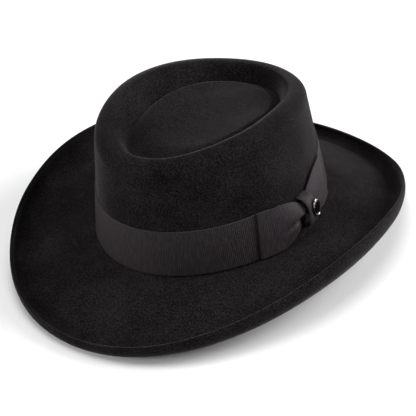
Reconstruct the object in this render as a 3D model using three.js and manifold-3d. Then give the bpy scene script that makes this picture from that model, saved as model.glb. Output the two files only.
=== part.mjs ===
// A gambler hat of black wool felt: an oval telescope crown with a raised ridge round its dent, and a brim
// that dips at the front and back and rolls up all round. A ribbon band with a pinched bow goes round the
// crown, and a plain oval pin is fixed through the bow's knot.
// Millimetres, +Z up. -Y is the front and +X is the wearer's left, where the bow is. The origin is on the
// surface that the hat rests on, under the middle of its outline. Inside this file, heights are measured from
// the foot of the band and offsets outward from the outer face of the crown there.

import * as THREE from 'three';
import { ParametricGeometry } from 'three/addons/geometries/ParametricGeometry.js';
import { mergeVertices } from 'three/addons/utils/BufferGeometryUtils.js';
import Module from 'manifold-3d';

const wasm = await Module();
wasm.setup();

// Felt
const feltThickness = 2.4;
const crownLength = 202; // outside of the felt at the foot of the band, front to back
const crownWidth = 174; // the same, side to side
const ovalFullness = 0.85; // how much fuller than an ellipse the crown is at its front, back and sides
const ridgeHeight = 91; // top of the ridge over the foot of the band
const crownLean = 11.2; // how far the wall leans in up to the ridge
const ridgeInset = 13.5; // from the wall in to the top of the ridge
const ridgeRise = 9.8; // height of the round from the wall to the top of the ridge
const dentDepth = 15.2; // from the top of the ridge down to the valley round the dent's floor
const dentSlope = 16.5; // width of the slope from the ridge down to that valley
const dentCurve = 0.7; // how round the slope is at its top: with 1 it is as round there as at its foot
const floorRise = 4.4; // how much higher the dent's floor is than the valley round it
const floorFall = 5; // width of the fall from the floor's edge to the valley
const breakRadius = 1.5; // round where the brim turns up into the crown
const brimReach = 65; // from the crown out to the outermost point of the brim's upper face
const brimDip = 30; // drop of the brim where its roll starts, half way between the front's and the back's
const rollRadius = 10; // radius of the rolled edge, on the upper face
const rollTurn = THREE.MathUtils.degToRad(120);
const rollLip = 0.8; // straight end of the roll
const edgeRound = 0.7; // how far the cut edge of the felt bulges
const restPress = 1.2; // how much of the two dips is pressed flat by the surface that the hat rests on

// Ribbon
const ribbonWidth = 38;
const ribbonThickness = 1;
const clearance = 0.3; // between pieces that lie on each other

// Bow
const bowAngle = THREE.MathUtils.degToRad(96); // middle of the knot, from the front towards the wearer's left
const wingLength = 47; // from the middle of the knot to the top of the folded end
const frontWingSkew = 2.8; // how much further the foot of the folded end reaches
const backWingSkew = 4;
const wingGap = 0.6; // between the two layers at the folded end
const frontWingPuff = 4.6; // how much further the outer layer stands off beside the knot
const backWingPuff = 3;
const frontWingRise = 0.8; // how much higher the folded end lies than the foot of the band
const backWingRise = 2.2;
const underDrop = 3.5; // how much lower the top of a wing's under layer lies, beside the knot
const gatherDepth = 0.7; // of the pleats beside the knot
const gatherCount = 2;
const pinchDepth = 9; // how far the knot pulls in each edge of the band below the bow
const pinchReach = 45; // from the middle of the knot to where the band has its full width again
const knotFront = 5.2; // from the middle of the bow to the knot's front edge, at its ends
const knotBack = 7; // and to its back edge
const knotWaist = 2.2; // how far the front wing pushes the knot's front edge back across the middle
const knotHeight = 26.2;
const knotMiddle = 18.5; // height of the knot's middle
const knotStand = 9.4; // how far the knot's face stands off the band

// Pin
const pinHeight = 14;
const pinWidth = 8.6;
const pinAlong = 5.2; // from the middle of the knot towards the back of the hat
const pinMiddle = 20.2; // height of the pin's middle
const bezelDepth = 1.6;
const bezelRim = 1;
const bezelFloor = 0.6;
const enamelDome = 0.5;
const postRadius = 0.8;
const postLength = 2.2;
const clutchRadius = 2.4;
const clutchThickness = 1;

// Fineness of the faceted surfaces
const pointsAround = 64;
const weldDistance = 1e-4;

// Sections from the front round either side to the back, 45 degrees apart. Every column is a share of one
// size: full of ovalFullness, reach of brimReach, dip of brimDip, roll of rollRadius, turn of rollTurn, ridge
// of ridgeHeight, lean of crownLean, dent of dentDepth, slope of dentSlope and fall of floorFall.
const sections = [
  {
    full: 1, reach: 1.13, dip: 0.81, roll: 0.64, turn: 1.02,
    ridge: 0.99, lean: 0.89, dent: 0.96, slope: 0.65, fall: 5,
  },
  {
    full: -0.2, reach: 1.03, dip: 0.46, roll: 1, turn: 1,
    ridge: 1.03, lean: 1.06, dent: 1, slope: 0.75, fall: 3,
  },
  {
    full: 1, reach: 0.89, dip: 0.18, roll: 1.39, turn: 0.98,
    ridge: 1.06, lean: 1.2, dent: 1.06, slope: 1, fall: 1,
  },
  {
    full: -1.8, reach: 0.94, dip: 0.68, roll: 1, turn: 1,
    ridge: 0.97, lean: 0.94, dent: 1, slope: 0.6, fall: 1.2,
  },
  {
    full: 1, reach: 1, dip: 1.2, roll: 0.64, turn: 1.02,
    ridge: 0.9, lean: 0.72, dent: 0.93, slope: 0.45, fall: 2.2,
  },
];

// Sections of a wing from the knot to the fold. along is a share of the wing's length, lift of its puff,
// gather of gatherDepth and under of underDrop. bend is how much of the lift is lost at the ribbon's two
// edges. The other columns are the front and back wings' tops and feet, as shares of ribbonWidth.
const wingSections = [
  {
    along: 0.01, lift: 0.75, bend: 1, gather: 0.3, under: 1,
    frontTop: 0.69, frontFoot: 0.27, backTop: 0.69, backFoot: 0.3,
  },
  {
    along: 0.07, lift: 0.95, bend: 1, gather: 0.5, under: 1,
    frontTop: 0.72, frontFoot: 0.24, backTop: 0.73, backFoot: 0.27,
  },
  {
    along: 0.14, lift: 1, bend: 1, gather: 0.9, under: 1,
    frontTop: 0.77, frontFoot: 0.19, backTop: 0.79, backFoot: 0.24,
  },
  {
    along: 0.23, lift: 1, bend: 0.95, gather: 1, under: 1,
    frontTop: 0.84, frontFoot: 0.13, backTop: 0.87, backFoot: 0.22,
  },
  {
    along: 0.32, lift: 0.9, bend: 0.85, gather: 0.8, under: 1,
    frontTop: 0.89, frontFoot: 0.08, backTop: 0.93, backFoot: 0.18,
  },
  {
    along: 0.43, lift: 0.7, bend: 0.7, gather: 0.5, under: 1,
    frontTop: 0.94, frontFoot: 0.03, backTop: 0.99, backFoot: 0.12,
  },
  {
    along: 0.57, lift: 0.45, bend: 0.5, gather: 0.25, under: 0.95,
    frontTop: 0.98, frontFoot: 0, backTop: 1.03, backFoot: 0.06,
  },
  {
    along: 0.75, lift: 0.2, bend: 0.2, gather: 0.1, under: 0.6,
    frontTop: 0.99, frontFoot: 0, backTop: 1.03, backFoot: 0.01,
  },
  {
    along: 0.97, lift: 0, bend: 0, gather: 0, under: 0,
    frontTop: 1, frontFoot: 0, backTop: 1, backFoot: 0,
  },
];

// A smooth even curve through the five values of a column, read at an angle from the front
function shareAt(column, angle) {
  const last = sections.length - 1;
  const endHalf = (index) => (index === 0 || index === last ? 0.5 : 1);
  let value = 0;
  for (let wave = 0; wave <= last; wave += 1) {
    let weight = 0;
    sections.forEach((section, index) => {
      weight += endHalf(index) * section[column] * Math.cos((Math.PI * wave * index) / last);
    });
    value += endHalf(wave) * weight * Math.cos(wave * angle) * (2 / last);
  }
  return value;
}

// A point of the hat before it is stood on its brim: an angle from the front towards the wearer's left, an
// offset outward from the crown's outer face at the foot of the band, and a height
function levelPoint(angle, offset, height) {
  const halfLength = crownLength / 2;
  const halfWidth = crownWidth / 2;
  const outward = new THREE.Vector2(halfLength * Math.sin(angle), -halfWidth * Math.cos(angle)).normalize();
  const fullness = ovalFullness * shareAt('full', angle);
  const x = halfWidth * Math.sin(angle) + outward.x * (offset + fullness);
  const y = -halfLength * Math.cos(angle) + outward.y * (offset + fullness);
  return new THREE.Vector3(x, y, height);
}

// Offset of the crown's leaning wall at a height
function wallOffset(angle, height) {
  return (-crownLean * shareAt('lean', angle) * height) / (ridgeHeight * shareAt('ridge', angle));
}

// Stations from 0 to 1, both ends included
function steps(count) {
  return Array.from({ length: count + 1 }, (unused, index) => index / count);
}

// Welds the points that faces share and drops the faces that a pole or a closed end leaves without area
function weld(geometry) {
  geometry.deleteAttribute('normal');
  geometry.deleteAttribute('uv');
  const welded = mergeVertices(geometry, weldDistance);
  const kept = [];
  for (let start = 0; start < welded.index.count; start += 3) {
    const face = [0, 1, 2].map((corner) => welded.index.getX(start + corner));
    if (new Set(face).size === 3) kept.push(...face);
  }
  welded.setIndex(kept);
  welded.computeVertexNormals();
  return welded;
}

// The surface through a list of rings that have the same number of points
function surfaceThrough(rings) {
  const ringSize = rings[0].length;
  const place = (along, round, target) => {
    const ring = rings[Math.round(along * (rings.length - 1))];
    target.copy(ring[Math.round(round * ringSize) % ringSize]);
  };
  return weld(new ParametricGeometry(place, rings.length - 1, ringSize));
}

// The same with both ends closed on the middle of their ring
function cappedSurface(rings) {
  const closeOn = (ring) => {
    const middle = new THREE.Vector3();
    ring.forEach((point) => middle.addScaledVector(point, 1 / ring.length));
    return ring.map(() => middle);
  };
  return surfaceThrough([closeOn(rings[0]), ...rings, closeOn(rings[rings.length - 1])]);
}

// A path moved sideways, to its right as it runs
function besidePath(path, distance) {
  return path.map((point, index) => {
    const before = path[Math.max(index - 1, 0)];
    const after = path[Math.min(index + 1, path.length - 1)];
    const run = after.clone().sub(before).normalize();
    return new THREE.Vector2(point.x + run.y * distance, point.y - run.x * distance);
  });
}

// Where the brim's slope ends and its roll starts, at an angle round the hat
function rollStart(angle) {
  const radius = rollRadius * shareAt('roll', angle);
  const turn = rollTurn * shareAt('turn', angle);
  const height = -brimDip * shareAt('dip', angle);
  const reach = brimReach * shareAt('reach', angle);
  const slope = Math.atan2(height + breakRadius, reach - radius - breakRadius);
  const last = slope + turn;
  const rollReach = (last > Math.PI / 2 ? 1 : Math.sin(last)) - Math.sin(slope);
  return { offset: reach - radius * rollReach, height, radius, turn, slope };
}

// The lowest point under the brim's roll
function lowestUnder(angle) {
  const roll = rollStart(angle);
  const below = roll.radius + feltThickness;
  const offset = roll.offset - roll.radius * Math.sin(roll.slope);
  return levelPoint(angle, offset, roll.height + roll.radius * Math.cos(roll.slope) - below);
}

// The hat leans until its front and back dips are level, and rests on both
const frontLow = lowestUnder(0);
const backLow = lowestUnder(Math.PI);
const restLean = Math.atan2(frontLow.z - backLow.z, backLow.y - frontLow.y);
const xAxis = new THREE.Vector3(1, 0, 0);
const restHeight = frontLow.clone().applyAxisAngle(xAxis, restLean).z + restPress;

// The same point as levelPoint once the hat stands on its brim
function ovalPoint(angle, offset, height) {
  return levelPoint(angle, offset, height).applyAxisAngle(xAxis, restLean);
}

// Upper face of the felt at an angle, from the valley round the dent's floor over the ridge and out to the
// cut edge, as offsets and heights
function upperPath(angle) {
  const ridge = ridgeHeight * shareAt('ridge', angle);
  const depth = dentDepth * shareAt('dent', angle);
  const slopeWidth = dentSlope * shareAt('slope', angle);
  const shoulder = wallOffset(angle, ridge - ridgeRise);
  const roll = rollStart(angle);
  const path = [];
  steps(5).forEach((share) => {
    const drop = (depth * (1 + Math.cos(Math.PI * share ** dentCurve))) / 2;
    path.push(new THREE.Vector2(shoulder - ridgeInset - slopeWidth * (1 - share), ridge - drop));
  });
  steps(6).slice(1).forEach((share) => {
    const turn = (Math.PI / 2) * (1 - share);
    const inset = ridgeInset * (1 - Math.cos(turn));
    path.push(new THREE.Vector2(shoulder - inset, ridge - ridgeRise * (1 - Math.sin(turn))));
  });
  steps(4).slice(1).forEach((share) => {
    const height = (ridge - ridgeRise) * (1 - share);
    path.push(new THREE.Vector2(wallOffset(angle, height), height));
  });
  steps(2).slice(1).forEach((share) => {
    const turn = Math.PI / 2 - (Math.PI / 2 + roll.slope) * share;
    path.push(new THREE.Vector2(breakRadius * (1 - Math.sin(turn)), -breakRadius * Math.cos(turn)));
  });
  const brimRoot = path[path.length - 1];
  const brimEnd = new THREE.Vector2(roll.offset, roll.height);
  steps(4).slice(1).forEach((share) => path.push(brimRoot.clone().lerp(brimEnd, share)));
  steps(7).slice(1).forEach((share) => {
    const turn = roll.slope + roll.turn * share;
    path.push(new THREE.Vector2(
      roll.offset + roll.radius * (Math.sin(turn) - Math.sin(roll.slope)),
      roll.height + roll.radius * (Math.cos(roll.slope) - Math.cos(turn)),
    ));
  });
  const lipTurn = roll.slope + roll.turn;
  const lip = new THREE.Vector2(Math.cos(lipTurn), Math.sin(lipTurn)).multiplyScalar(rollLip);
  path.push(path[path.length - 1].clone().add(lip));
  return path;
}

// Points at one angle from the middle of the dent's floor over the upper face to the cut edge, and back
// underneath
function feltColumn(angle) {
  const upper = upperPath(angle);
  const under = besidePath(upper, feltThickness);
  const restOn = (point, lowest) => {
    const standing = ovalPoint(angle, point.x, point.y);
    return standing.setZ(Math.max(standing.z, lowest));
  };
  const upperFace = upper.map((point) => restOn(point, restHeight + feltThickness));
  const underFace = under.map((point) => restOn(point, restHeight));
  const edge = upperFace[upperFace.length - 1].clone().lerp(underFace[underFace.length - 1], 0.5);
  const lipRun = upper[upper.length - 1].clone().sub(upper[upper.length - 2]).normalize();
  const bulge = ovalPoint(angle, lipRun.x * edgeRound, lipRun.y * edgeRound).sub(ovalPoint(angle, 0, 0));
  const floorMiddle = new THREE.Vector3(0, 0, ridgeHeight - dentDepth);
  floorMiddle.applyAxisAngle(xAxis, restLean);
  const valley = upperFace[0];
  const fallStart = 1 - (floorFall * shareAt('fall', angle)) / floorMiddle.distanceTo(valley);
  const fall = steps(3).slice(0, -1).map((share) => THREE.MathUtils.lerp(fallStart, 1, share));
  const floor = [0, fallStart / 2, ...fall].map((share) => {
    const point = floorMiddle.clone().lerp(valley, share);
    const rise = floorRise * (1 - THREE.MathUtils.smoothstep(share, fallStart, 1));
    point.z = THREE.MathUtils.lerp(floorMiddle.z, valley.z, share * share) + rise;
    return point;
  });
  const ceiling = floor.map((point) => point.clone().setZ(point.z - feltThickness));
  return [...floor, ...upperFace, edge.add(bulge), ...underFace.reverse(), ...ceiling.reverse()];
}

// Crown and brim in one piece of felt, the same thickness everywhere
function makeFelt() {
  const columns = Array.from({ length: pointsAround }, (unused, index) => (
    feltColumn((2 * Math.PI * index) / pointsAround)
  ));
  return surfaceThrough(columns[0].map((unused, station) => columns.map((column) => column[station])));
}

// How far the knot pulls in each edge of the band at an angle
function pinchAt(angle) {
  const away = Math.min(Math.abs(angle - bowAngle) * (crownLength / 2), pinchReach);
  return (pinchDepth * (1 + Math.cos((Math.PI * away) / pinchReach))) / 2;
}

// A closed ring of ribbon that leans with the crown's wall
function makeBand() {
  const corner = (offset, height, pinchShare) => Array.from({ length: pointsAround }, (unused, index) => {
    const angle = (2 * Math.PI * index) / pointsAround;
    const edge = height + pinchShare * pinchAt(angle);
    return ovalPoint(angle, wallOffset(angle, edge) + offset, edge);
  });
  const inner = clearance;
  const outer = clearance + ribbonThickness;
  const top = corner(outer, ribbonWidth, -1);
  return surfaceThrough([top, corner(outer, 0, 1), corner(inner, 0, 1), corner(inner, ribbonWidth, -1), top]);
}

// A point of the bow: a distance along the band from the middle of the knot, an offset from the crown's wall
// and a height. So near the side of the hat, a radian is close to half the crown's length.
function bowPoint(along, offset, height) {
  const angle = bowAngle + along / (crownLength / 2);
  return ovalPoint(angle, wallOffset(angle, height) + offset, height);
}

const bandFace = clearance + ribbonThickness;

// side is -1 towards the front of the hat and 1 towards the back
const frontShape = {
  side: -1, puffDepth: frontWingPuff, rise: frontWingRise, skew: frontWingSkew,
  topColumn: 'frontTop', footColumn: 'frontFoot',
};
const backShape = {
  side: 1, puffDepth: backWingPuff, rise: backWingRise, skew: backWingSkew,
  topColumn: 'backTop', footColumn: 'backFoot',
};

// A loop of ribbon: one layer on the band out to the fold, and a second one back over it that puffs up,
// narrows and gathers towards the knot
function makeWing({ side, puffDepth, rise, skew, topColumn, footColumn }) {
  const across = steps(8);
  const underLayer = bandFace + clearance + ribbonThickness / 2;
  const foldRadius = (wingGap + ribbonThickness) / 2;
  const overLayer = underLayer + 2 * foldRadius;
  const rowsAcross = across.map((share) => {
    const length = wingLength + skew * (1 - share);
    const path = [];
    wingSections.forEach((section) => path.push(new THREE.Vector2(section.along * length, underLayer)));
    const foldStart = path[path.length - 1].x;
    steps(4).slice(1, -1).forEach((turn) => path.push(new THREE.Vector2(
      foldStart + foldRadius * Math.sin(Math.PI * turn),
      underLayer + foldRadius * (1 - Math.cos(Math.PI * turn)),
    )));
    wingSections.toReversed().forEach((section) => {
      const edgeward = (2 * share - 1) ** 2;
      const puff = puffDepth * section.lift * (1 - section.bend * edgeward);
      const wave = Math.cos(2 * Math.PI * gatherCount * share);
      const pleat = gatherDepth * section.gather * (1 - edgeward) * wave;
      path.push(new THREE.Vector2(section.along * length, overLayer + puff + pleat));
    });
    const half = ribbonThickness / 2;
    return { outer: besidePath(path, half), inner: besidePath(path, -half) };
  });
  const fold = { ...wingSections[wingSections.length - 1] };
  const stations = [...wingSections, fold, fold, fold, ...wingSections.toReversed()];
  const rings = stations.map((section, index) => {
    const drop = index < wingSections.length ? underDrop * section.under : 0;
    const foot = ribbonWidth * section[footColumn] + rise * section.along;
    const top = ribbonWidth * section[topColumn] + rise * section.along - drop;
    const heightAt = (share) => THREE.MathUtils.lerp(foot, top, share);
    const ring = [];
    across.forEach((share, row) => {
      const point = rowsAcross[row].outer[index];
      ring.push(bowPoint(side * point.x, point.y, heightAt(share)));
    });
    across.toReversed().forEach((share, row) => {
      const point = rowsAcross[across.length - 1 - row].inner[index];
      ring.push(bowPoint(side * point.x, point.y, heightAt(share)));
    });
    return ring;
  });
  return cappedSurface(side < 0 ? rings : rings.reverse());
}

// Half the knot's side view, from its foot to its top, as offsets and heights of the strip's middle
function knotPath() {
  const flatness = 2 / 3; // exponent of the squared-off arch: a half circle has 1
  const halfHeight = knotHeight / 2;
  const base = bandFace + clearance + ribbonThickness / 2;
  return steps(12).map((share) => {
    const turn = Math.PI * share;
    const rise = Math.max(Math.sin(turn), 0) ** flatness;
    const lift = Math.sign(Math.cos(turn)) * Math.abs(Math.cos(turn)) ** flatness;
    return new THREE.Vector2(base + (knotStand - ribbonThickness) * rise, knotMiddle - halfHeight * lift);
  });
}

// A strip of ribbon that arches over the pinched wings from the band below them to the band above
function makeKnot() {
  const path = knotPath();
  const outerPath = besidePath(path, ribbonThickness / 2);
  const innerPath = besidePath(path, -ribbonThickness / 2);
  const across = steps(4);
  const rings = path.map((unused, index) => {
    const rise = Math.sin((Math.PI * index) / (path.length - 1));
    const frontEdge = knotWaist * rise - knotFront;
    const along = (share) => THREE.MathUtils.lerp(knotBack, frontEdge, share);
    const outer = outerPath[index];
    const inner = innerPath[index];
    return [
      ...across.map((share) => bowPoint(along(share), outer.x, outer.y)),
      ...across.toReversed().map((share) => bowPoint(along(share), inner.x, inner.y)),
    ];
  });
  return cappedSurface(rings);
}

// Stands a shape on the knot's face: its +Z points out of the hat and its +Y up along the leaning face
function placeOnKnot(object) {
  const face = bandFace + clearance + knotStand + clearance;
  const foot = bowPoint(pinAlong, face, pinMiddle);
  const above = bowPoint(pinAlong, face, pinMiddle + 1);
  const beside = bowPoint(pinAlong + 1, face, pinMiddle);
  const up = above.sub(foot).normalize();
  const right = beside.sub(foot).normalize();
  const outward = right.clone().cross(up).normalize();
  const frame = new THREE.Matrix4().makeBasis(up.clone().cross(outward), up, outward);
  object.quaternion.setFromRotationMatrix(frame);
  object.position.copy(foot);
  object.updateMatrix();
  return object;
}

// An oval solid of revolution, wide by the pin's proportions
function ovalLathe(profile) {
  const outline = profile.map(([radius, height]) => new THREE.Vector2(radius, height));
  const lathe = new THREE.LatheGeometry(outline, 24);
  lathe.rotateX(Math.PI / 2);
  lathe.scale(pinWidth / pinHeight, 1, 1);
  return weld(lathe);
}

// Dished oval back with a raised rim, and behind it a post and the clutch that holds it inside the knot
function makeBezel() {
  const radius = pinHeight / 2;
  const clutchFace = -postLength;
  return ovalLathe([
    [0, clutchFace - clutchThickness],
    [clutchRadius, clutchFace - clutchThickness],
    [clutchRadius, clutchFace],
    [postRadius, clutchFace],
    [postRadius, 0],
    [radius, 0],
    [radius, bezelDepth - bezelRim / 2],
    [radius - bezelRim / 2, bezelDepth],
    [radius - bezelRim, bezelDepth - bezelRim / 2],
    [radius - bezelRim, bezelFloor],
    [0, bezelFloor],
  ]);
}

// Low oval dome set in the bezel
function makeEnamel() {
  const radius = pinHeight / 2 - bezelRim - clearance;
  const foot = bezelFloor + clearance;
  const shoulder = bezelDepth - bezelRim / 2;
  const dome = steps(4).map((share) => {
    const turn = (Math.PI / 2) * share;
    return [radius * Math.cos(turn), shoulder + enamelDome * Math.sin(turn)];
  });
  return ovalLathe([[0, foot], [radius, foot], ...dome.slice(0, -1), [0, shoulder + enamelDome]]);
}

// A closed geometry as a solid that can be cut, and back
function toSolid(geometry) {
  const vertProperties = geometry.attributes.position.array;
  const triVerts = new Uint32Array(geometry.index.array);
  return new wasm.Manifold(new wasm.Mesh({ numProp: 3, vertProperties, triVerts }));
}

function toGeometry(solid) {
  const mesh = solid.getMesh();
  const geometry = new THREE.BufferGeometry();
  geometry.setAttribute('position', new THREE.BufferAttribute(mesh.vertProperties, 3));
  geometry.setIndex(new THREE.BufferAttribute(mesh.triVerts, 1));
  geometry.computeVertexNormals();
  return geometry;
}

// The knot with the hole that the pin's post goes through
function makePiercedKnot() {
  const hole = new THREE.CylinderGeometry(postRadius + clearance, postRadius + clearance, 4 * postLength, 12);
  hole.rotateX(Math.PI / 2);
  const drill = placeOnKnot(new THREE.Object3D());
  hole.applyMatrix4(drill.matrix);
  return toGeometry(toSolid(makeKnot()).subtract(toSolid(weld(hole))));
}

function piece(name, geometry, look) {
  const mesh = new THREE.Mesh(geometry, new THREE.MeshStandardMaterial(look));
  mesh.name = name;
  return mesh;
}

const feltLook = { color: 0x1f1d1e, roughness: 0.95, metalness: 0 };
const ribbonLook = { color: 0x2d2a2d, roughness: 0.7, metalness: 0 };
const felt = piece('felt_body', makeFelt(), feltLook);
const band = piece('hat_band', makeBand(), ribbonLook);
const frontWing = piece('bow_front_wing', makeWing(frontShape), ribbonLook);
const backWing = piece('bow_back_wing', makeWing(backShape), ribbonLook);
const knot = piece('bow_knot', makePiercedKnot(), ribbonLook);
const metalLook = { color: 0xb8b8bc, roughness: 0.2, metalness: 1 };
const bezel = placeOnKnot(piece('pin_bezel', makeBezel(), metalLook));
const enamelLook = { color: 0x0b0b0d, roughness: 0.1, metalness: 0 };
const enamel = placeOnKnot(piece('pin_enamel', makeEnamel(), enamelLook));

const hat = new THREE.Group();
hat.add(felt, band, frontWing, backWing, knot, bezel, enamel);

// The foot of the band is lifted over the resting surface, and the middle of the outline goes over the
// origin
const outline = new THREE.Box3().setFromObject(felt);
hat.position.set(0, -(outline.min.y + outline.max.y) / 2, -restHeight);

export default hat;
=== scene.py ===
# A gambler hat of black wool felt with a grosgrain band, a pinched bow and a plain oval pin.
# Shapes are worked out in millimetres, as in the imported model, and turned to metres when a mesh is made.
# -Y is the front of the hat and +X the wearer's left, where the bow is.
import math

import bpy
import numpy as np
from mathutils import Matrix, Vector


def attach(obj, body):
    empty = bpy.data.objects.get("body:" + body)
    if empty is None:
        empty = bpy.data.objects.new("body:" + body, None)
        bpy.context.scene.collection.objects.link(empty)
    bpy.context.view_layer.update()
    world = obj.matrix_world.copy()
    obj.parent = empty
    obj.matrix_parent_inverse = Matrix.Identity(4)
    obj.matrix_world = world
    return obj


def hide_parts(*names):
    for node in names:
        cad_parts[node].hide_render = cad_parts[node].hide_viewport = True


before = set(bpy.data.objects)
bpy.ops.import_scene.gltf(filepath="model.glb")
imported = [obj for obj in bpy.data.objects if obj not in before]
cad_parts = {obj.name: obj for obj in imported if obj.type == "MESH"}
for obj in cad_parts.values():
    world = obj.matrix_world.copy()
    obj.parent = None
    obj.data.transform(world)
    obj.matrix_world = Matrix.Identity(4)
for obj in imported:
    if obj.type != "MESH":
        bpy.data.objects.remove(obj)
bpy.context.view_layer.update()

print("frame loaded:", sorted(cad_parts))


# Helpers for colours, nodes and meshes

def hexColour(code):
    # sRGB hex to the linear values that the shaders want
    parts = [int(code[i:i + 2], 16) / 255 for i in (1, 3, 5)]
    linear = [p / 12.92 if p <= 0.04045 else ((p + 0.055) / 1.055) ** 2.4 for p in parts]
    return (*linear, 1.0)


def addNode(tree, kind, settings=None, links=None):
    # settings go to a socket's default value, by its name or number, to a ramp's stops or else to a property
    node = tree.nodes.new(kind)
    for name, value in (settings or {}).items():
        if name == "stops":
            while len(node.color_ramp.elements) < len(value):
                node.color_ramp.elements.new(0.5)
            for element, (position, code) in zip(node.color_ramp.elements, value):
                element.position, element.color = position, hexColour(code)
        elif isinstance(name, int) or name in node.inputs:
            node.inputs[name].default_value = value
        else:
            setattr(node, name, value)
    for name, socket in (links or {}).items():
        tree.links.new(socket, node.inputs[name])
    return node


def startMaterial(name, settings):
    # settings are the shader's own values
    material = bpy.data.materials.new(name)
    material.use_nodes = True
    tree = material.node_tree
    tree.nodes.clear()
    surface = addNode(tree, "ShaderNodeBsdfPrincipled", settings)
    addNode(tree, "ShaderNodeOutputMaterial", links={"Surface": surface.outputs["BSDF"]})
    return material, tree, surface


def makePiece(name, points, faces, material, weave=None, sharpAngle=None):
    # points in mm; weave is a (mm along, mm across) pair for each point
    mesh = bpy.data.meshes.new(name)
    mesh.from_pydata((np.asarray(points) / 1000).tolist(), [], faces)
    mesh.validate()
    mesh.polygons.foreach_set("use_smooth", [True] * len(mesh.polygons))
    if sharpAngle:
        mesh.set_sharp_from_angle(angle=math.radians(sharpAngle))
    if weave is not None:
        layer = mesh.uv_layers.new(name="weave")
        corners = np.empty(len(mesh.loops), dtype=np.int32)
        mesh.loops.foreach_get("vertex_index", corners)
        layer.uv.foreach_set("vector", np.asarray(weave, dtype=np.float32)[corners].ravel())
    mesh.materials.append(material)
    piece = bpy.data.objects.new(name, mesh)
    bpy.context.scene.collection.objects.link(piece)
    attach(piece, "root")
    return piece


def gridFaces(rows, columns, closedRows=False):
    # quads between neighbouring rows, each row closed; point index = row * columns + column
    faces = []
    for row in range(rows if closedRows else rows - 1):
        nextRow = (row + 1) % rows
        for column in range(columns):
            nextColumn = (column + 1) % columns
            faces.append((
                row * columns + column,
                row * columns + nextColumn,
                nextRow * columns + nextColumn,
                nextRow * columns + column,
            ))
    return faces


def smoothStep(low, high, value):
    share = np.clip((np.asarray(value, dtype=float) - low) / (high - low), 0, 1)
    return share * share * (3 - 2 * share)


def unevenness(points, wavelength, seed):
    # smooth value from -1 to 1 that changes over about one wavelength in mm
    dice = np.random.default_rng(seed)
    total = np.zeros(points.shape[:-1])
    for wave in range(6):
        direction = dice.normal(size=3)
        direction *= 2 * math.pi * dice.uniform(0.6, 1.3) / wavelength / np.linalg.norm(direction)
        total += np.sin(points @ direction + dice.uniform(0, 2 * math.pi))
    return total / 6 * 1.4


# Felt body: crown and brim blocked from one piece

felt = {
    "thickness": 2.4,
    "crownLength": 202, "crownWidth": 174, "fullness": 0.85,
    "ridgeHeight": 91, "crownLean": 11.2, "ridgeInset": 13.5, "ridgeRise": 9.8,
    "dentDepth": 15.2, "dentSlope": 16.5, "dentCurve": 0.7, "floorRise": 4.4, "floorFall": 5,
    "breakRadius": 1.5, "brimReach": 65, "brimDip": 30,
    "rollRadius": 10, "rollTurn": math.radians(120), "rollLip": 0.8,
    "edgeBulge": 0.6,  # how round the cut edge is: with 1 it is half a circle
    "restPress": 1.2,  # how deep the brim is pressed flat where it rests
    "unevenness": 0.35,  # blocked by hand, so nowhere quite true
    "pointsAround": 288,
    # steps along each stretch of the section, from the dent out to the cut edge, and over the dent's floor
    "steps": {
        "dent": 14, "ridge": 16, "wall": 24, "break": 3, "slope": 22, "roll": 18, "edge": 7, "floor": 49,
    },
    # shares of the sizes above at the front, front side, side, back side and back
    "sections": {
        "fullness": (1.0, -0.2, 1.0, -1.8, 1.0),
        "brimReach": (1.13, 1.03, 0.89, 0.94, 1.0),
        "brimDip": (0.81, 0.46, 0.18, 0.68, 1.2),
        "rollRadius": (0.64, 1.0, 1.39, 1.0, 0.64),
        "rollTurn": (1.02, 1.0, 0.98, 1.0, 1.02),
        "ridgeHeight": (0.99, 1.03, 1.06, 0.97, 0.9),
        "crownLean": (0.89, 1.06, 1.2, 0.94, 0.72),
        "dentDepth": (0.96, 1.0, 1.06, 1.0, 0.93),
        "dentSlope": (0.65, 0.75, 1.0, 0.6, 0.45),
        "floorFall": (5.0, 3.0, 1.0, 1.2, 2.2),
    },
}


def feltSize(name, angle):
    # a size of the hat at an angle from the front: a smooth even curve through its five sections
    shares = felt["sections"][name]
    last = len(shares) - 1
    value = np.zeros_like(np.asarray(angle, dtype=float))
    for wave in range(last + 1):
        weight = sum(
            (0.5 if index in (0, last) else 1) * share * math.cos(math.pi * wave * index / last)
            for index, share in enumerate(shares)
        )
        value += (0.5 if wave in (0, last) else 1) * weight * np.cos(wave * np.asarray(angle)) * 2 / last
    return felt[name] * value


def levelPoint(angle, offset, height):
    # angle from the front towards the wearer's left, offset outward from the crown's foot
    sine, cosine = np.sin(angle), np.cos(angle)
    halfLength, halfWidth = felt["crownLength"] / 2, felt["crownWidth"] / 2
    outX, outY = halfLength * sine, -halfWidth * cosine
    size = np.hypot(outX, outY)
    reach = offset + feltSize("fullness", angle)
    x = halfWidth * sine + outX / size * reach
    y = -halfLength * cosine + outY / size * reach
    return np.stack(np.broadcast_arrays(x, y, height), -1)


def rollStart(angle):
    # where the brim's slope ends and its rolled edge starts
    radius, turn = feltSize("rollRadius", angle), feltSize("rollTurn", angle)
    height, reach = -feltSize("brimDip", angle), feltSize("brimReach", angle)
    slope = np.arctan2(height + felt["breakRadius"], reach - radius - felt["breakRadius"])
    widest = np.where(slope + turn > math.pi / 2, 1.0, np.sin(slope + turn)) - np.sin(slope)
    return reach - radius * widest, height, radius, turn, slope


def lowestUnder(angle):
    offset, height, radius, turn, slope = rollStart(angle)
    lowest = height + radius * np.cos(slope) - radius - felt["thickness"]
    return levelPoint(angle, offset - radius * np.sin(slope), lowest)


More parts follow.
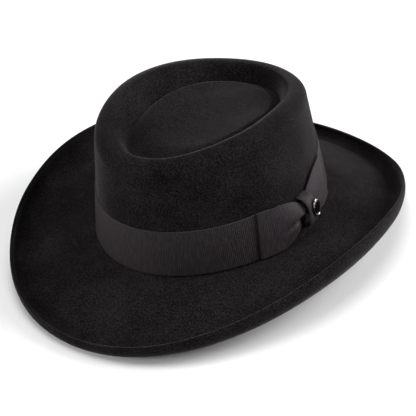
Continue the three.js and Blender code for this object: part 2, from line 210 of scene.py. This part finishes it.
# the hat leans until its front and back dips are level, as it would on a table
frontLow, backLow = lowestUnder(0.0), lowestUnder(math.pi)
restLean = math.atan2(frontLow[2] - backLow[2], backLow[1] - frontLow[1])
leanMatrix = np.array(Matrix.Rotation(restLean, 3, "X"))
restHeight = (leanMatrix @ frontLow)[2] + felt["restPress"]


def wallOffset(angle, height):
    return -feltSize("crownLean", angle) * height / feltSize("ridgeHeight", angle)


def upperPath(angle):
    # upper face from the valley of the dent over the ridge and out to the cut edge
    ridge, depth = feltSize("ridgeHeight", angle), feltSize("dentDepth", angle)
    slopeWidth = feltSize("dentSlope", angle)
    shoulder = wallOffset(angle, ridge - felt["ridgeRise"])
    offset, height, radius, turn, slope = rollStart(angle)
    steps = felt["steps"]
    path = []
    for share in np.linspace(0, 1, steps["dent"] + 1):
        drop = depth * (1 + math.cos(math.pi * share ** felt["dentCurve"])) / 2
        path.append((shoulder - felt["ridgeInset"] - slopeWidth * (1 - share), ridge - drop))
    for share in np.linspace(0, 1, steps["ridge"] + 1)[1:]:
        arc = math.pi / 2 * (1 - share)
        inset = felt["ridgeInset"] * (1 - math.cos(arc))
        path.append((shoulder - inset, ridge - felt["ridgeRise"] * (1 - math.sin(arc))))
    for share in np.linspace(0, 1, steps["wall"] + 1)[1:]:
        level = (ridge - felt["ridgeRise"]) * (1 - share)
        path.append((wallOffset(angle, level), level))
    for share in np.linspace(0, 1, steps["break"] + 1)[1:]:
        arc = math.pi / 2 - (math.pi / 2 + slope) * share
        path.append((felt["breakRadius"] * (1 - np.sin(arc)), -felt["breakRadius"] * np.cos(arc)))
    root = path[-1]
    for share in np.linspace(0, 1, steps["slope"] + 1)[1:]:
        path.append((root[0] + (offset - root[0]) * share, root[1] + (height - root[1]) * share))
    for share in np.linspace(0, 1, steps["roll"] + 1)[1:]:
        arc = slope + turn * share
        path.append((
            offset + radius * (np.sin(arc) - np.sin(slope)),
            height + radius * (np.cos(slope) - np.cos(arc)),
        ))
    end = slope + turn
    path.append((path[-1][0] + felt["rollLip"] * np.cos(end), path[-1][1] + felt["rollLip"] * np.sin(end)))
    return np.array([[np.broadcast_to(a, angle.shape), np.broadcast_to(b, angle.shape)] for a, b in path])


def pathNormal(path):
    # unit normal to the right of a path as it runs: the side under the upper face
    run = np.empty_like(path)
    run[1:-1] = path[2:] - path[:-2]
    run[0] = path[1] - path[0]
    run[-1] = path[-1] - path[-2]
    run /= np.linalg.norm(run, axis=1, keepdims=True)
    return np.stack([run[:, 1], -run[:, 0]], 1)


groupShift = 3.294  # middle of the outline over the origin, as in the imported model


def standUp(points):
    # from the level hat to the one that rests on its dips, in the model's frame
    return points @ leanMatrix.T + np.array([0, groupShift, -restHeight])


def buildFelt(material):
    angle = np.linspace(0, 2 * math.pi, felt["pointsAround"], endpoint=False)
    upper = upperPath(angle)
    normal = pathNormal(upper)
    # the cut edge is rounded from the upper face to the under one
    half = felt["thickness"] / 2
    bulge = half * felt["edgeBulge"]
    endNormal, endRun = normal[-1], np.stack([-normal[-1][1], normal[-1][0]])
    edge = []
    for arc in np.linspace(0, math.pi, felt["steps"]["edge"] + 1)[1:-1]:
        edge.append(upper[-1] + endNormal * half * (1 - math.cos(arc)) + endRun * bulge * math.sin(arc))
    under = (upper + normal * felt["thickness"])[::-1]
    path = np.concatenate([upper, np.array(edge), under])
    points = standUp(levelPoint(angle, path[:, 0], path[:, 1]))

    # the dent's floor: a low plateau inside a valley
    middle = standUp(np.array([0, 0, felt["ridgeHeight"] - felt["dentDepth"]]))
    floorRings = []
    fallStart = 1 - feltSize("floorFall", angle) / np.linalg.norm(points[0] - middle, axis=1)
    for share in np.linspace(0, 1, felt["steps"]["floor"] + 1)[1:-1]:
        ring = middle + (points[0] - middle) * share
        ring[:, 2] = middle[2] + (points[0][:, 2] - middle[2]) * share ** 2
        ring[:, 2] += felt["floorRise"] * (1 - smoothStep(fallStart, 1.0, share))
        floorRings.append(ring)
    top = middle + [0, 0, felt["floorRise"]]
    floorRings = np.array(floorRings)
    drop = np.array([0, 0, -felt["thickness"]])
    rings = np.concatenate([floorRings, points, (floorRings + drop)[::-1]])

    sway = unevenness(rings, wavelength=70, seed=4) * felt["unevenness"]
    outward = rings * [1, 1, 0]
    outward /= np.maximum(np.linalg.norm(outward, axis=-1, keepdims=True), 1)
    rings = rings + outward * sway[..., None]
    rings[..., 2] += unevenness(rings, wavelength=60, seed=9) * felt["unevenness"]
    # pressed flat where it rests
    upperCount = len(floorRings) + len(upper)
    lowest = np.zeros(len(rings))
    lowest[:upperCount] = felt["thickness"]
    rings[..., 2] = np.maximum(rings[..., 2], lowest[:, None])

    rows, columns = rings.shape[:2]
    flat = rings.reshape(-1, 3).tolist()
    faces = gridFaces(rows, columns)
    first, last = len(flat), len(flat) + 1
    flat += [list(top), list(top + drop)]
    for column in range(columns):
        following = (column + 1) % columns
        faces.append((first, following, column))
        faces.append((last, (rows - 1) * columns + column, (rows - 1) * columns + following))
    faces = [tuple(reversed(face)) for face in faces]
    return makePiece("felt_hat_body", flat, faces, material)


def blockedWoolFelt():
    # wool fibres matted by steam and pressure, dyed black and brushed to a short nap: nearly no gloss,
    # a soft pale bloom where the eye meets it at a slant, and a fine uneven mottle
    material, tree, surface = startMaterial("black wool felt, blocked and brushed", {
        "Roughness": 0.95, "IOR": 1.3, "Specular IOR Level": 0.05,
        "Sheen Weight": 0.2, "Sheen Roughness": 0.3, "Sheen Tint": hexColour("#e4dddc"),
    })
    place = addNode(tree, "ShaderNodeTexCoord").outputs["Object"]
    tuft = addNode(tree, "ShaderNodeTexNoise", {  # nap tufts of about 1.2 mm
        "Scale": 1 / 0.0012, "Detail": 5, "Roughness": 0.65,
    }, {"Vector": place}).outputs["Fac"]
    cloud = addNode(tree, "ShaderNodeTexNoise", {  # patches of 35 mm where the nap lies another way
        "Scale": 1 / 0.035, "Detail": 3, "Roughness": 0.6,
    }, {"Vector": place}).outputs["Fac"]
    mixed = addNode(tree, "ShaderNodeMath", {"operation": "MULTIPLY_ADD", 1: 0.3}, {0: cloud, 2: tuft})
    colour = addNode(tree, "ShaderNodeValToRGB", {
        "stops": [(0.5, "#0a090a"), (0.65, "#171516"), (0.8, "#282526")],
    }, {"Fac": mixed.outputs["Value"]}).outputs["Color"]
    tree.links.new(colour, surface.inputs["Base Color"])
    # single fibres are 0.02 mm, too fine to show here, so the bump has clumps of 0.6 mm
    fibre = addNode(tree, "ShaderNodeTexNoise", {
        "Scale": 1 / 0.0006, "Detail": 4, "Roughness": 0.7, "Distortion": 0.6,
    }, {"Vector": place}).outputs["Fac"]
    nap = addNode(tree, "ShaderNodeMath", {"operation": "ADD"}, {0: tuft, 1: fibre}).outputs[0]
    bump = addNode(tree, "ShaderNodeBump", {"Strength": 0.55, "Distance": 0.0004}, {"Height": nap})
    tree.links.new(bump.outputs["Normal"], surface.inputs["Normal"])
    return material


feltPiece = buildFelt(blockedWoolFelt())
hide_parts("felt_body")
print("felt body made:", len(feltPiece.data.polygons), "faces")


# Ribbon: the band, the bow's two wings and its knot are cut from the same grosgrain

ribbon = {
    "width": 38,
    "thickness": 0.7,
    "clearance": 0.15,
    "ribSpacing": 1.5,  # real ribs are 0.7 mm apart, too fine to show here, so they are drawn wider
    "ribDepth": 0.1,
    "pointsPerRib": 6,
    "selvedge": 0.35,  # how far the band's outer face rounds in at its two edges
    "innerSelvedge": 0.2,  # and its inner face
}


def wovenGrosgrain():
    # black rayon over thick cotton wefts: close upright ribs, a dull gloss from the side and a slightly
    # purple cast;
    # the base colour darkens the grooves between the ribs as painted shade
    material, tree, surface = startMaterial("black grosgrain ribbon, woven in ribs", {
        "Roughness": 0.55, "IOR": 1.47, "Specular IOR Level": 0.12,
        "Sheen Weight": 0.02, "Sheen Roughness": 0.3, "Sheen Tint": hexColour("#e0d6dc"),
    })
    weave = addNode(tree, "ShaderNodeUVMap", {"uv_map": "weave"}).outputs["UV"]
    ribs = addNode(tree, "ShaderNodeTexWave", {  # the ribs' grooves, as far apart as the mesh's
        "wave_type": "BANDS", "bands_direction": "X",
        "Scale": 2 * math.pi / 20 / ribbon["ribSpacing"], "Distortion": 0,
    }, {"Vector": weave}).outputs["Fac"]
    stretched = addNode(tree, "ShaderNodeMapping", {"Scale": (1, 0.15, 1)}, {"Vector": weave})
    yarn = addNode(tree, "ShaderNodeTexNoise", {  # yarns run along the ribs and vary from rib to rib
        "Scale": 0.9, "Detail": 5, "Roughness": 0.75,
    }, {"Vector": stretched.outputs["Vector"]}).outputs["Fac"]
    threads = addNode(tree, "ShaderNodeTexNoise", {  # warp threads of about 0.3 mm that cross the ribs
        "Scale": 3.2, "Detail": 3, "Roughness": 0.7,
    }, {"Vector": weave}).outputs["Fac"]
    # painted shade: the rib wave darkens the grooves in the base colour, on top of the yarns' random tone
    grooveShadeAndYarnTone = addNode(tree, "ShaderNodeMath", {"operation": "MULTIPLY_ADD", 1: 0.12}, {0: ribs, 2: yarn})
    colour = addNode(tree, "ShaderNodeValToRGB", {
        "stops": [(0.3, "#1a1719"), (0.55, "#2b272a"), (0.85, "#3f3a3d")],
    }, {"Fac": grooveShadeAndYarnTone.outputs["Value"]}).outputs["Color"]
    tree.links.new(colour, surface.inputs["Base Color"])
    relief = addNode(tree, "ShaderNodeMath", {"operation": "MULTIPLY_ADD", 1: 0.7}, {0: threads, 2: ribs})
    height = relief.outputs["Value"]
    bump = addNode(tree, "ShaderNodeBump", {"Strength": 0.5, "Distance": 0.0003}, {"Height": height})
    tree.links.new(bump.outputs["Normal"], surface.inputs["Normal"])
    return material


grosgrain = wovenGrosgrain()

bow = {
    "angle": math.radians(96),  # middle of the knot, from the front towards the wearer's left
    "pinchDepth": 9, "pinchReach": 45,  # how the knot draws the band's edges in
}


def ribRelief(along):
    # rounded ribs with narrow grooves between them
    return ribbon["ribDepth"] * (np.abs(np.sin(math.pi * along / ribbon["ribSpacing"])) ** 0.6 - 1)


def bowPoint(along, offset, height):
    # mm along the band from the middle of the knot, offset from the crown's wall, height over the band's foot
    angle = bow["angle"] + along / (felt["crownLength"] / 2)
    return standUp(levelPoint(angle, wallOffset(angle, height) + offset, height))


def buildBand():
    girth = math.pi * (felt["crownLength"] + felt["crownWidth"]) / 2
    ribCount = round(girth / ribbon["ribSpacing"])
    columns = ribCount * ribbon["pointsPerRib"]
    angle = np.linspace(0, 2 * math.pi, columns, endpoint=False)
    along = angle / (2 * math.pi) * ribCount * ribbon["ribSpacing"]
    away = np.minimum(np.abs(angle - bow["angle"]) * felt["crownLength"] / 2, bow["pinchReach"])
    pinch = bow["pinchDepth"] * (1 + np.cos(math.pi * away / bow["pinchReach"])) / 2
    outer, inner = ribbon["clearance"] + ribbon["thickness"], ribbon["clearance"]
    # (offset, share of the height, share of the ribs' relief): up the outside and down the inside
    outerEdge, innerEdge = outer - ribbon["selvedge"], inner + ribbon["innerSelvedge"]
    profile = [(outerEdge, 0.0, 0), (outer, 0.012, 0.5), (outer, 0.03, 1)]
    profile += [(outer, share, 1) for share in np.linspace(0.12, 0.88, 7)]
    profile += [(outer, 0.97, 1), (outer, 0.988, 0.5), (outerEdge, 1.0, 0)]
    profile += [(innerEdge, 1.0, 0), (inner, 0.985, 0), (inner, 0.5, 0)]
    profile += [(inner, 0.015, 0), (innerEdge, 0.0, 0)]
    rings, weave = [], []
    for offset, share, relief in profile:
        height = pinch + (ribbon["width"] - 2 * pinch) * share
        rings.append(standUp(levelPoint(
            angle, wallOffset(angle, height) + offset + relief * ribRelief(along), height,
        )))
        weave.append(np.stack([along, np.full(columns, share * ribbon["width"])], 1))
    faces = gridFaces(len(rings), columns, closedRows=True)
    points, weave = np.concatenate(rings), np.concatenate(weave)
    band = makePiece("grosgrain_band", points, faces, grosgrain, weave, 50)
    return band


bandPiece = buildBand()
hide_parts("hat_band")
print("band made")


# Bow wings: each is a loop of ribbon, laid on the band out to its fold and gathered back to the knot

frontWing = {
    "side": -1, "length": 47, "skew": 2.8, "gap": 0.5, "puff": 4.8, "rise": 0.8, "underDrop": 3.5,
    # the gathered ribbon is one fold above its main crease and a smaller one below, which stops short
    # of the knot
    "crease": ((0.1, 0.45), (0.6, 0.36)), "creaseDepth": 3.2, "creaseWidth": 0.07, "lowerStart": 0.3,
    # foot and top as shares of the ribbon's width along the wing from the knot to the fold
    "foot": (
        (0, 0.28), (0.07, 0.24), (0.14, 0.19), (0.23, 0.13),
        (0.32, 0.08), (0.43, 0.03), (0.57, 0), (0.97, 0),
    ),
    "top": (
        (0, 0.68), (0.07, 0.72), (0.14, 0.77), (0.23, 0.84),
        (0.32, 0.89), (0.43, 0.94), (0.57, 0.98), (0.97, 1),
    ),
}
backWing = {
    "side": 1, "length": 47, "skew": 4, "gap": 0.3, "puff": 3.0, "rise": 2.2, "underDrop": 3.5,
    "crease": ((0.1, 0.5), (0.5, 0.42)), "creaseDepth": 1.1, "creaseWidth": 0.09, "lowerStart": 0.1,
    "foot": (
        (0, 0.31), (0.07, 0.27), (0.14, 0.24), (0.23, 0.22),
        (0.32, 0.18), (0.43, 0.12), (0.57, 0.06), (0.97, 0),
    ),
    "top": (
        (0, 0.68), (0.07, 0.73), (0.14, 0.79), (0.23, 0.87),
        (0.32, 0.93), (0.43, 0.99), (0.57, 1.03), (0.97, 1),
    ),
}
# points across a wing, along it and round its fold, and how often its tables are smoothed
wingRows, wingStations, foldPoints, wingPasses = 41, 150, 7, 12
# along either wing: how far it puffs up, how much of that is lost at its edges, and the under layer's drop
wingTable = np.array([
    (0.00, 0.10, 1.00, 1.00),
    (0.03, 0.35, 1.00, 1.00),
    (0.07, 0.80, 1.00, 1.00),
    (0.12, 1.00, 1.00, 1.00),
    (0.20, 1.00, 0.98, 1.00),
    (0.32, 0.88, 0.85, 1.00),
    (0.43, 0.66, 0.70, 1.00),
    (0.57, 0.40, 0.50, 0.95),
    (0.75, 0.16, 0.20, 0.60),
    (0.97, 0.00, 0.00, 0.00),
])


def wingColumn(column, along):
    return np.interp(along, wingTable[:, 0], wingTable[:, column])


def smoothed(values, passes):
    # rounds the corners that straight interpolation leaves
    values = np.array(values, dtype=float)
    for unused in range(passes):
        values[1:-1] = (values[:-2] + 2 * values[1:-1] + values[2:]) / 4
    return values


def stripFaces(rows, around):
    # a strip with two faces: each row goes over its outer face and back over its inner one
    faces = gridFaces(rows, around)
    for row, flip in ((0, False), (rows - 1, True)):
        start, end = row * around, (row + 1) * around - 1
        for column in range(around // 2 - 1):
            cap = [start + column, start + column + 1, end - 1 - column, end - column]
            faces.append(tuple(cap if flip else reversed(cap)))
    return faces


def buildWing(name, wing):
    across = (1 - np.cos(np.linspace(0, math.pi, wingRows))) / 2
    stations = np.linspace(0, wingTable[-1, 0], wingStations)
    half = ribbon["thickness"] / 2
    underLayer = 2 * ribbon["clearance"] + ribbon["thickness"] + half
    foldRadius = (wing["gap"] + ribbon["thickness"]) / 2
    overLayer = underLayer + 2 * foldRadius
    lift, bend, under = [smoothed(wingColumn(column, stations), wingPasses) for column in range(1, 4)]
    edgeShares = [np.interp(stations, *np.transpose(wing[edge])) for edge in ("foot", "top")]
    foot, top = [smoothed(shares, wingPasses) for shares in edgeShares]
    (nearAlong, nearShare), (farAlong, farShare) = wing["crease"]
    progress = np.clip((stations - nearAlong) / (farAlong - nearAlong), 0, 1)
    creaseShare = nearShare + (farShare - nearShare) * progress
    creaseDepth = wing["creaseDepth"] * (1 - smoothStep(0, 1, progress)) * smoothStep(0, 0.08, stations)
    sheet = []
    for share in across:
        length = wing["length"] + wing["skew"] * (1 - share)
        edgeward = (2 * share - 1) ** 2
        puff = wing["puff"] * lift * (1 - bend * edgeward)
        # below the crease the fold starts further from the knot and leaves a dark pocket beside it
        below = 1 - smoothStep(-0.5, 0.5, (share - creaseShare) / wing["creaseWidth"])
        puff = puff * (1 - below * (1 - smoothStep(0.4 * wing["lowerStart"], wing["lowerStart"], stations)))
        puff = puff - creaseDepth * np.exp(-((share - creaseShare) / wing["creaseWidth"]) ** 2)
        # a crease never reaches the layer below it
        over = overLayer + np.maximum(puff, -0.6 * wing["gap"])
        turns = np.linspace(0, math.pi, foldPoints + 2)[1:-1]
        fold = np.stack([
            stations[-1] * length + foldRadius * np.sin(turns),
            underLayer + foldRadius * (1 - np.cos(turns)),
        ], 1)
        lowerLayer = np.stack([stations * length, np.full_like(stations, underLayer)], 1)
        upperLayer = np.stack([stations * length, over], 1)[::-1]
        sheet.append(np.concatenate([lowerLayer[::5], lowerLayer[-1:], fold, upperLayer]))
    sheet = np.array(sheet).transpose(1, 2, 0)  # station, (along, offset), row across
    normal = pathNormal(sheet)
    stationShare = np.concatenate([
        stations[::5], stations[-1:], np.full(foldPoints, stations[-1]), stations[::-1],
    ])
    isUnder = np.arange(len(stationShare)) < len(stations[::5]) + 1
    topAt = ribbon["width"] * np.interp(stationShare, stations, top) + wing["rise"] * stationShare
    topAt = topAt - wing["underDrop"] * np.interp(stationShare, stations, under) * isUnder
    footAt = ribbon["width"] * np.interp(stationShare, stations, foot) + wing["rise"] * stationShare
    rows, weave = [], []
    middleRow = sheet[:, :, wingRows // 2]
    run = np.concatenate([[0], np.cumsum(np.linalg.norm(np.diff(middleRow, axis=0), axis=1))])
    for index in range(len(sheet)):
        relief = 0 if isUnder[index] else ribRelief(run[index])
        outer = sheet[index] + normal[index] * (half + relief)
        inner = sheet[index] - normal[index] * half
        heights = footAt[index] + (topAt[index] - footAt[index]) * across
        ring = [bowPoint(wing["side"] * outer[0], outer[1], heights)]
        ring.append(bowPoint(wing["side"] * inner[0], inner[1], heights)[::-1])
        rows.append(np.concatenate(ring))
        widths = across * ribbon["width"]
        weave.append(np.concatenate([
            np.stack([np.full(wingRows, run[index]), widths], 1),
            np.stack([np.full(wingRows, run[index]), widths[::-1]], 1),
        ]))
    faces = stripFaces(len(rows), len(rows[0]))
    if wing["side"] > 0:
        faces = [tuple(reversed(face)) for face in faces]
    points, weave = np.concatenate(rows), np.concatenate(weave)
    piece = makePiece(name, points, faces, grosgrain, weave, 60)
    return piece


frontPiece = buildWing("bow_wing_front", frontWing)
backPiece = buildWing("bow_wing_back", backWing)
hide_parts("bow_front_wing")
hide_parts("bow_back_wing")
print("bow wings made")


# Knot: a short strip of the ribbon, folded narrow and wrapped upright over the gathered wings

knot = {
    "front": 5.2, "back": 7, "waist": 2.2, "height": 26.2, "middle": 18.5, "stand": 9.4,
    "squareness": 2 / 3,  # exponent of the arch: a half circle has 1
    "pleatHeight": 0.28, "pleatWaves": 1.5, "pleatStart": 0.6,  # small pleats along it
    "selvedge": 0.5, "selvedgePower": 8,  # how far and how sharply its outer face rounds in at the edges
    "rowsAcross": 25,
    "stations": 145,
}


def buildKnot():
    stations = np.linspace(0, 1, knot["stations"])
    turn = math.pi * stations
    arch = np.maximum(np.sin(turn), 0) ** knot["squareness"]
    lift = np.sign(np.cos(turn)) * np.abs(np.cos(turn)) ** knot["squareness"]
    base = 2 * ribbon["clearance"] + ribbon["thickness"] * 1.5
    path = np.stack([
        base + (knot["stand"] - ribbon["thickness"]) * arch,
        knot["middle"] - knot["height"] / 2 * lift,
    ], 1)
    # even steps along the arch, so that the ribs are even too
    run = np.concatenate([[0], np.cumsum(np.linalg.norm(np.diff(path, axis=0), axis=1))])
    even = np.linspace(0, run[-1], len(stations))
    path = np.stack([np.interp(even, run, path[:, 0]), np.interp(even, run, path[:, 1])], 1)
    path[:, 0], path[:, 1] = smoothed(path[:, 0], 4), smoothed(path[:, 1], 4)
    normal = pathNormal(path[:, :, None])[:, :, 0]
    across = (1 - np.cos(np.linspace(0, math.pi, knot["rowsAcross"]))) / 2
    pleats = knot["pleatHeight"] * np.sin(across * 2 * math.pi * knot["pleatWaves"] + knot["pleatStart"])
    roundedIn = knot["selvedge"] * np.abs(2 * across - 1) ** knot["selvedgePower"]
    rows, weave = [], []
    for index, (offset, height) in enumerate(path):
        rise = math.sin(math.pi * even[index] / run[-1])
        frontEdge = knot["waist"] * rise - knot["front"]
        along = knot["back"] + (frontEdge - knot["back"]) * across
        pleat = pleats * math.sin(math.pi * min(1, rise))
        outward = ribbon["thickness"] / 2 + pleat + ribRelief(even[index]) - roundedIn
        outer = bowPoint(along, offset + normal[index][0] * outward, height + normal[index][1] * outward)
        inward = -ribbon["thickness"] / 2
        inner = bowPoint(along, offset + normal[index][0] * inward, height + normal[index][1] * inward)
        rows.append(np.concatenate([outer, inner[::-1]]))
        widths = across * (knot["front"] + knot["back"])
        length = np.full(knot["rowsAcross"], even[index])
        weave.append(np.concatenate([np.stack([length, widths], 1), np.stack([length, widths[::-1]], 1)]))
    points, weave = np.concatenate(rows), np.concatenate(weave)
    faces = stripFaces(len(rows), len(rows[0]))
    piece = makePiece("bow_knot_wrap", points, faces, grosgrain, weave, 60)
    return piece


knotPiece = buildKnot()
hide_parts("bow_knot")
print("knot made")


# Pin: an oval dished back with a rolled rim and a plain domed face of enamel

pin = {
    "height": 14, "width": 8.6, "along": 5.2, "middle": 20.2,
    "depth": 1.6, "rim": 1.0, "floor": 0.6, "dome": 0.5,
    "postRadius": 0.8, "postLength": 2.2, "clutchRadius": 2.4, "clutchThickness": 1,
    "bevel": 0.25,  # of the back's edge
    "gap": 0.06,  # between the enamel and its dish
    "shoulder": 0.15,  # how far below the rim's middle the enamel's dome starts
    "flatRadius": 0.4,  # of the small flat that closes each profile in the middle
    "pointsAround": 96, "rimSteps": 12, "domeSteps": 13,
}


def latheOval(profile, name, material):
    # profile of (radius along the pin's height, mm out of the knot), turned and squeezed to the oval
    count = pin["pointsAround"]
    turns = np.linspace(0, 2 * math.pi, count, endpoint=False)
    face = 2 * ribbon["clearance"] + ribbon["thickness"] + knot["stand"] + ribbon["clearance"]
    foot = bowPoint(np.array(pin["along"]), face, pin["middle"])
    above = bowPoint(np.array(pin["along"]), face, pin["middle"] + 1)
    beside = bowPoint(np.array(pin["along"] + 1), face, pin["middle"])
    up = Vector(above - foot).normalized()
    outward = Vector(beside - foot).normalized().cross(up).normalized()
    side = up.cross(outward)
    basis = np.array([side, up, outward])
    rings = []
    for radius, height in profile:
        ring = np.stack([
            radius * pin["width"] / pin["height"] * np.cos(turns),
            radius * np.sin(turns),
            np.full(count, height),
        ], 1)
        rings.append(foot + ring @ basis)
    points = np.concatenate(rings).tolist()
    faces = gridFaces(len(rings), count)
    faces.append(tuple(reversed(range(count))))
    faces.append(tuple(range((len(rings) - 1) * count, len(rings) * count)))
    return makePiece(name, points, faces, material, sharpAngle=40)


def platedBrass():
    # die-struck brass, polished and plated with nickel: a sharp cool mirror, softened by handling
    material, tree, surface = startMaterial("nickel-plated brass, die-struck and polished", {
        "Base Color": hexColour("#c9c8c6"), "Metallic": 1.0,
    })
    place = addNode(tree, "ShaderNodeTexCoord").outputs["Object"]
    haze = addNode(tree, "ShaderNodeTexNoise", {  # finger marks of about 1.5 mm
        "Scale": 1 / 0.0015, "Detail": 4,
    }, {"Vector": place}).outputs["Fac"]
    rough = addNode(tree, "ShaderNodeMapRange", {"To Min": 0.1, "To Max": 0.28}, {"Value": haze})
    tree.links.new(rough.outputs["Result"], surface.inputs["Roughness"])
    return material


def firedEnamel():
    # black glass enamel fired into the dish: a deep wet gloss with a slight wave in it
    material, tree, surface = startMaterial("black vitreous enamel, fired and glazed", {
        "Base Color": hexColour("#070708"), "Roughness": 0.08, "IOR": 1.52,
        "Coat Weight": 0.6, "Coat Roughness": 0.03,
    })
    place = addNode(tree, "ShaderNodeTexCoord").outputs["Object"]
    ripple = addNode(tree, "ShaderNodeTexNoise", {  # waves of about 3 mm in the fired glass
        "Scale": 1 / 0.003, "Detail": 2,
    }, {"Vector": place}).outputs["Fac"]
    bump = addNode(tree, "ShaderNodeBump", {"Strength": 0.15, "Distance": 0.0002}, {"Height": ripple})
    tree.links.new(bump.outputs["Normal"], surface.inputs["Normal"])
    return material


def buildPin():
    radius, rim, depth = pin["height"] / 2, pin["rim"], pin["depth"]
    clutchFace, clutchBack = -pin["postLength"], -pin["postLength"] - pin["clutchThickness"]
    profile = [(pin["flatRadius"], clutchBack), (pin["clutchRadius"], clutchBack)]
    profile += [(pin["clutchRadius"], clutchFace), (pin["postRadius"], clutchFace), (pin["postRadius"], 0)]
    profile += [(radius - pin["bevel"], 0), (radius, pin["bevel"]), (radius, depth - rim / 2)]
    for arc in np.linspace(0, math.pi, pin["rimSteps"] + 1)[1:]:
        profile.append((
            radius - rim / 2 + rim / 2 * math.cos(arc),
            depth - rim / 2 + rim / 2 * math.sin(arc),
        ))
    profile += [(radius - rim, pin["floor"]), (pin["flatRadius"], pin["floor"])]
    back = latheOval(profile, "pin_back_and_rim", platedBrass())
    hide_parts("pin_bezel")
    inside, foot = radius - rim - pin["gap"], pin["floor"] + pin["gap"]
    shoulder = depth - rim / 2 - pin["shoulder"]
    profile = [(pin["flatRadius"], foot), (inside, foot)]
    for arc in np.linspace(0, math.pi / 2, pin["domeSteps"] + 1)[:-1]:
        profile.append((inside * math.cos(arc), shoulder + (pin["dome"] + pin["shoulder"]) * math.sin(arc)))
    face = latheOval(profile, "pin_enamel_face", firedEnamel())
    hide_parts("pin_enamel")


buildPin()
print("pin made")


# Studio: a white paper floor, five soft boxes with the strongest at the right, and a faint even light

studio = {
    "floor": "#f4f4f4", "floorReach": 6,
    "world": "#ffffff", "worldStrength": 0.01,
    # (name, place in m, width, watts); they all aim at the hat
    "boxes": [
        ("soft box in front", (-0.23, -1.48, 0.8), 1.0, 13.5),
        ("low soft box left", (-1.3, -0.7, 0.3), 0.8, 8),
        ("soft box right", (1.07, 1.05, 0.9), 1.0, 32),
        ("low soft box right", (1.14, 1.12, 0.35), 1.0, 12),
        ("soft box above", (0, 0, 1.7), 1.2, 19),
    ],
}

camera = {
    "aim": (0, -0.0029, 0.0284), "distance": 1.378,
    "azimuth": 44.5, "elevation": 33.85, "roll": -5.8,  # degrees
    "lens": 148.8,
}


def aimAt(thing, place, target):
    thing.location = place
    thing.rotation_euler = (Vector(target) - Vector(place)).to_track_quat("-Z", "Y").to_euler()


def setCamera():
    azimuth, elevation = math.radians(camera["azimuth"]), math.radians(camera["elevation"])
    back = Vector((
        math.sin(azimuth) * math.cos(elevation),
        -math.cos(azimuth) * math.cos(elevation),
        math.sin(elevation),
    ))
    level = Vector((math.cos(azimuth), math.sin(azimuth), 0))
    upright = back.cross(level)
    roll = math.radians(camera["roll"])
    right = level * math.cos(roll) + upright * math.sin(roll)
    up = upright * math.cos(roll) - level * math.sin(roll)
    data = bpy.data.cameras.new("photograph's view")
    data.lens = camera["lens"]
    data.sensor_width = 36
    data.clip_start, data.clip_end = 0.05, 20
    thing = bpy.data.objects.new("camera", data)
    bpy.context.scene.collection.objects.link(thing)
    turn = Matrix((right, up, back)).transposed()
    thing.matrix_world = Matrix.Translation(Vector(camera["aim"]) + back * camera["distance"]) @ turn.to_4x4()
    bpy.context.scene.camera = thing
    # plain display colours, so that the paper burns out to white as in a catalogue picture
    bpy.context.scene.view_settings.view_transform = "Standard"


def setLights():
    for name, place, width, watts in studio["boxes"]:
        data = bpy.data.lights.new(name, "AREA")
        data.size = width
        data.energy = watts
        thing = bpy.data.objects.new(name, data)
        bpy.context.scene.collection.objects.link(thing)
        aimAt(thing, place, (0, 0, 0.05))
    world = bpy.data.worlds.new("pale studio")
    world.use_nodes = True
    shade = world.node_tree.nodes["Background"]
    shade.inputs["Color"].default_value = hexColour(studio["world"])
    shade.inputs["Strength"].default_value = studio["worldStrength"]
    bpy.context.scene.world = world


def buildFloor():
    # uncoated paper: an even white with nearly no gloss
    material = startMaterial("white paper sweep, matt", {
        "Base Color": hexColour(studio["floor"]), "Roughness": 0.9,
    })[0]
    mesh = bpy.data.meshes.new("floor")
    reach = studio["floorReach"]
    corners = [(-reach, -reach, 0), (reach, -reach, 0), (reach, reach, 0), (-reach, reach, 0)]
    mesh.from_pydata(corners, [], [(0, 1, 2, 3)])
    mesh.materials.append(material)
    floor = bpy.data.objects.new("floor", mesh)
    bpy.context.scene.collection.objects.link(floor)


setCamera()
setLights()
buildFloor()
print("studio set")
